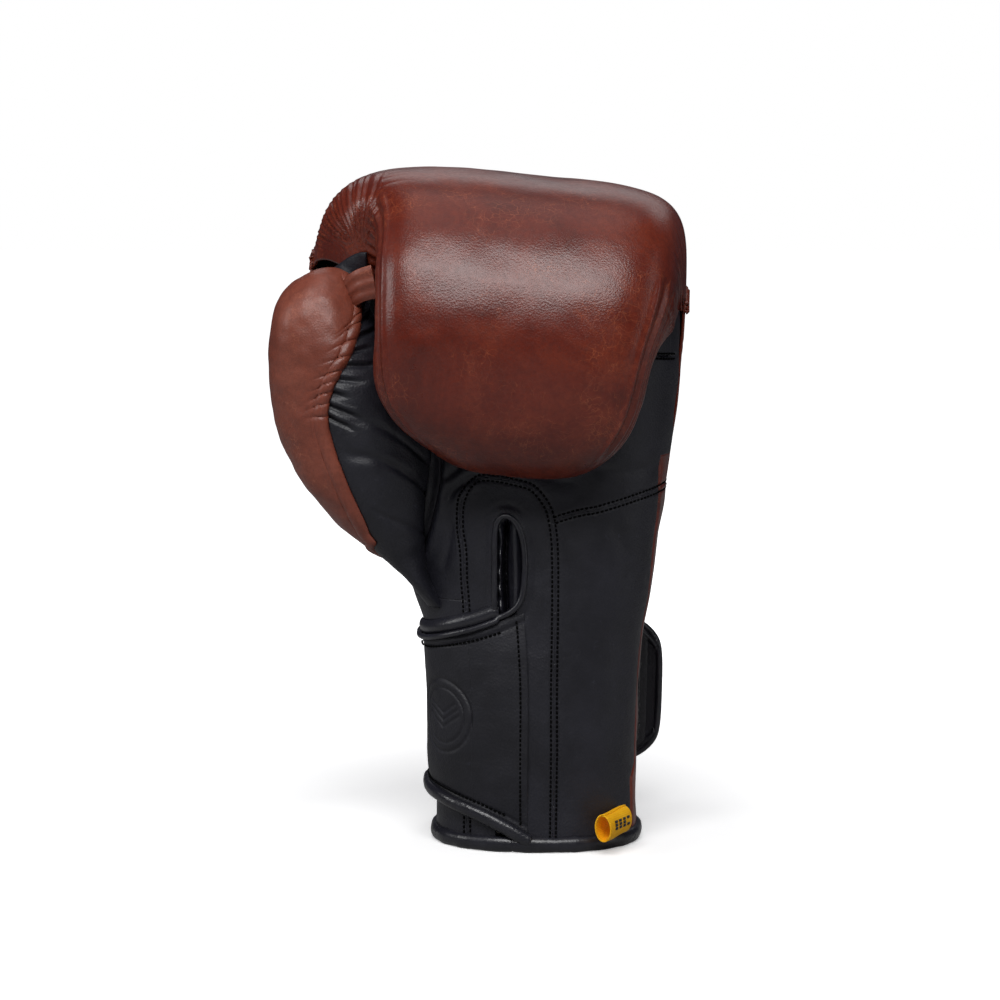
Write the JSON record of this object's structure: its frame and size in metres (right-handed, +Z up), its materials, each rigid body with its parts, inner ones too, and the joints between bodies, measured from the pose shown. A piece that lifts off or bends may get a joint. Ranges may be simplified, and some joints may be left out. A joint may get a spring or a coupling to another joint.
{
  "type": "boxing glove",
  "caption": "Left-hand padded boxing glove with a rolled fist, separate thumb and wrap-round wrist strap, standing upright on its cuff.",
  "frame": {"origin": "the middle of the glove's outline seen from above, on the floor it stands on", "axes": "+Z up from the cuff's mouth to the fist, -Y the way the palm faces, -X the thumb side, +X the little-finger side"},
  "size_m": [0.1868, 0.1482, 0.3038],
  "materials": {
    "brown_leather": "semi-gloss, waxed, mottled brown",
    "thumb_leather": "satin, lighter brown",
    "black_leather": "matte black",
    "black_binding": "glossy black piping",
    "hook_and_loop": "fuzzy black pile",
    "foam": "matte closed-cell foam",
    "lining": "matte black woven nylon",
    "label_ribbon": "satin yellow ribbon"
  },
  "bodies": {
    "glove": {"back_of_hand_pad": "foam", "cuff_back_panel": "brown_leather", "cuff_pad_back": "foam", "cuff_pad_little_finger_side": "foam", "cuff_pad_thumb_side": "foam", "cuff_palm_panel": "black_leather", "cuff_rim_binding": "black_binding", "cuff_thumb_panel": "black_leather", "edge_pad": "foam", "grip_bar_core": "foam", "grip_bar_cover": "lining", "hand_lining": "lining", "knuckle_foam_inner": "foam", "knuckle_foam_outer": "foam", "knuckle_shell": "brown_leather", "little_finger_gusset": "brown_leather", "loop_patch": "hook_and_loop", "palm_pad": "foam", "palm_panel": "black_leather", "side_panel_lower": "black_leather", "side_panel_upper": "black_leather", "slit_binding": "black_binding", "slit_facing": "black_leather", "strap_root": "black_leather", "thumb_base_panel": "black_leather", "thumb_side_gusset": "brown_leather", "thumb_tab": "thumb_leather"},
    "strap_front": {"strap_front_leather": "black_leather", "strap_front_binding_top": "black_binding", "strap_front_binding_bottom": "black_binding"},
    "strap_side": {"strap_side_leather": "black_leather", "strap_side_backing": "lining", "strap_side_binding_top": "black_binding", "strap_side_binding_bottom": "black_binding"},
    "strap_tail": {"strap_tail_leather": "black_leather", "strap_tail_backing": "lining", "strap_tail_binding": "black_binding", "hook_patch": "hook_and_loop"},
    "thumb": {"thumb_outer_shell": "thumb_leather", "thumb_inner_panel": "black_leather", "thumb_foam": "foam", "thumb_lining": "lining"},
    "label": {"size_label": "label_ribbon"}
  },
  "joints": [
    {"name": "strap_root_bend", "type": "hinge", "parent": "glove", "child": "strap_front", "pos_m": [0.01488, -0.02904, 0.05839], "axis": [-0.0228, 0.0188, 0.9996], "range_deg": [0, 24]},
    {"name": "strap_side_bend", "type": "hinge", "parent": "strap_front", "child": "strap_side", "pos_m": [-0.02146, -0.01648, 0.06574], "axis": [-0.0567, 0.0233, 0.9981], "range_deg": [0, 56]},
    {"name": "strap_tail_open", "type": "hinge", "parent": "strap_side", "child": "strap_tail", "pos_m": [-0.0181, 0.04782, 0.0695], "axis": [-0.0563, 0.024, 0.9981], "range_deg": [0, 90]},
    {"name": "thumb_flex", "type": "hinge", "parent": "glove", "child": "thumb", "pos_m": [-0.03458, -0.0179, 0.131], "axis": [0, -1, 0], "range_deg": [0, 4]},
    {"name": "label_flap", "type": "hinge", "parent": "glove", "child": "label", "pos_m": [0.05814, -0.01847, 0.0075], "axis": [0.7942, 0.6077, 0], "range_deg": [0, 40]}
  ],
  "couplings": [
    {"joint": "strap_side_bend", "follows": "strap_tail_open", "ratio": 0.6},
    {"joint": "strap_root_bend", "follows": "strap_tail_open", "ratio": 0.25}
  ]
}
